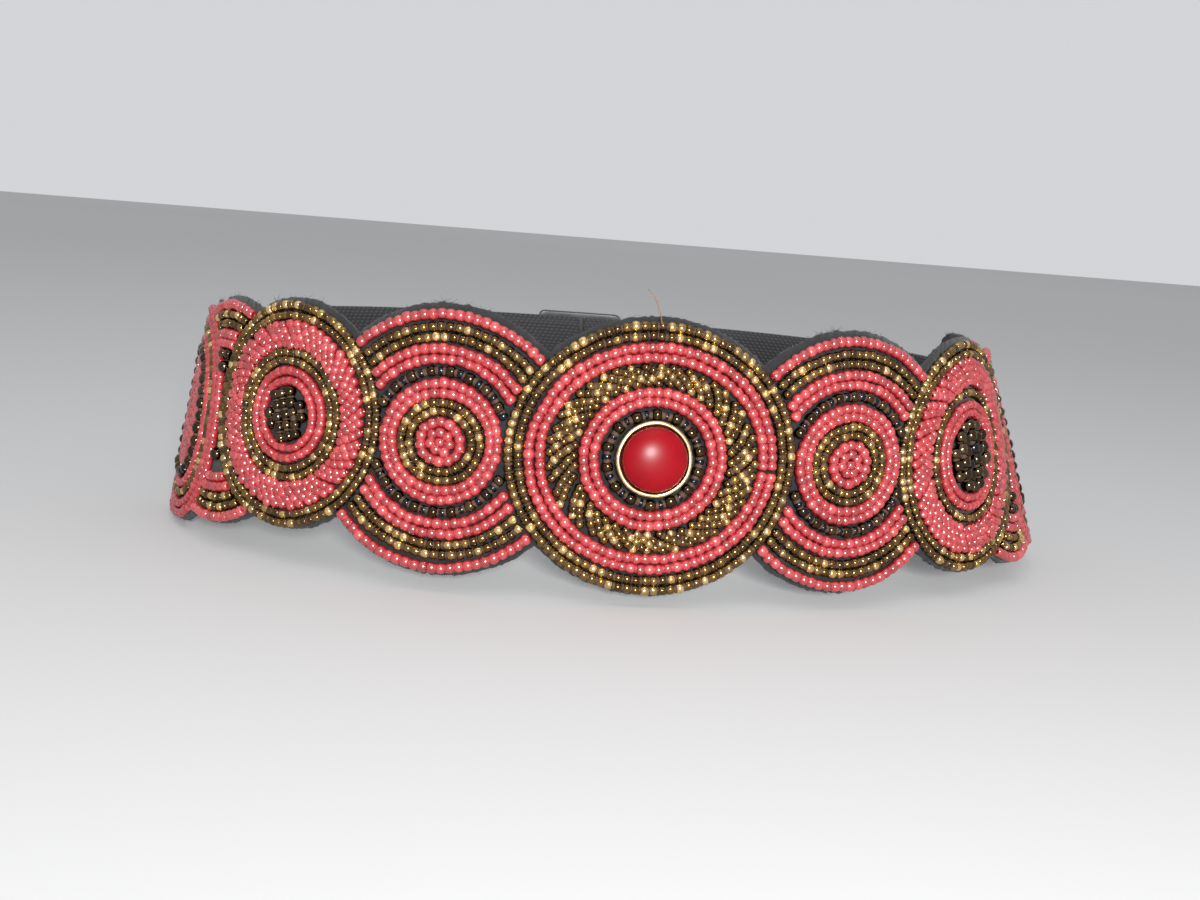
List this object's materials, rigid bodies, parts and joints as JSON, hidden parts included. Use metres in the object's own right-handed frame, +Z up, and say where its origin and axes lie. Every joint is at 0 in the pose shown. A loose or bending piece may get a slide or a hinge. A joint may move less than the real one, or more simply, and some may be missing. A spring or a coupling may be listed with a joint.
{
  "type": "beaded belt",
  "caption": "Wide waist belt of round beaded medallions on dark cloth, closed by a plain back band and clasp, held in its worn oval form.",
  "frame": {"origin": "centre of the waist opening, at half the belt's height", "axes": "+Z up the wearer, -Y out of the front medallion, +X to the viewer's right when facing the front"},
  "size_m": [0.2809, 0.19, 0.0764],
  "materials": {
    "coral_beads": "glossy opaque coral glass",
    "bronze_beads": "shiny antique bronze",
    "gunmetal_beads": "dark bronze black, shiny",
    "red_stone": "polished opaque red",
    "gold_bezel": "bright pale gold",
    "black_cloth": "dark felt",
    "black_band": "plain black webbing",
    "clasp_metal": "black, half matt"
  },
  "bodies": {
    "root": {"band_left": "black_band", "band_right": "black_band", "centre_bezel": "gold_bezel", "centre_bronze_twist": "bronze_beads", "centre_cabochon": "red_stone", "centre_coral_inner": "coral_beads", "centre_coral_outer": "coral_beads", "centre_gunmetal_ring": "gunmetal_beads", "centre_rim": "bronze_beads", "clasp": "clasp_metal", "cloth_backing": "black_cloth", "left_inner_bronze_bottom": "bronze_beads", "left_inner_bronze_ring": "bronze_beads", "left_inner_bronze_top": "bronze_beads", "left_inner_coral_bottom": "coral_beads", "left_inner_coral_ring": "coral_beads", "left_inner_coral_top": "coral_beads", "left_inner_edge_bottom": "coral_beads", "left_inner_edge_top": "coral_beads", "left_inner_gunmetal_bottom": "gunmetal_beads", "left_inner_gunmetal_top": "gunmetal_beads", "left_inner_heart": "coral_beads", "left_middle_bronze_ring": "bronze_beads", "left_middle_cluster": "gunmetal_beads", "left_middle_coral_field": "coral_beads", "left_middle_coral_ring": "coral_beads", "left_middle_rim": "bronze_beads", "left_notch_bottom": "coral_beads", "left_notch_top": "coral_beads", "left_outer_bronze_ring": "bronze_beads", "left_outer_coral_ring": "coral_beads", "left_outer_gunmetal_ring": "gunmetal_beads", "left_outer_heart": "coral_beads", "left_outer_rim": "coral_beads", "right_inner_bronze_bottom": "bronze_beads", "right_inner_bronze_ring": "bronze_beads", "right_inner_bronze_top": "bronze_beads", "right_inner_coral_bottom": "coral_beads", "right_inner_coral_ring": "coral_beads", "right_inner_coral_top": "coral_beads", "right_inner_edge_bottom": "coral_beads", "right_inner_edge_top": "coral_beads", "right_inner_gunmetal_bottom": "gunmetal_beads", "right_inner_gunmetal_top": "gunmetal_beads", "right_inner_heart": "coral_beads", "right_middle_bronze_ring": "bronze_beads", "right_middle_cluster": "gunmetal_beads", "right_middle_coral_field": "coral_beads", "right_middle_coral_ring": "coral_beads", "right_middle_rim": "bronze_beads", "right_notch_bottom": "coral_beads", "right_notch_top": "coral_beads", "right_outer_bronze_ring": "bronze_beads", "right_outer_coral_ring": "coral_beads", "right_outer_gunmetal_ring": "gunmetal_beads", "right_outer_heart": "coral_beads", "right_outer_rim": "coral_beads"}
  },
  "joints": []
}
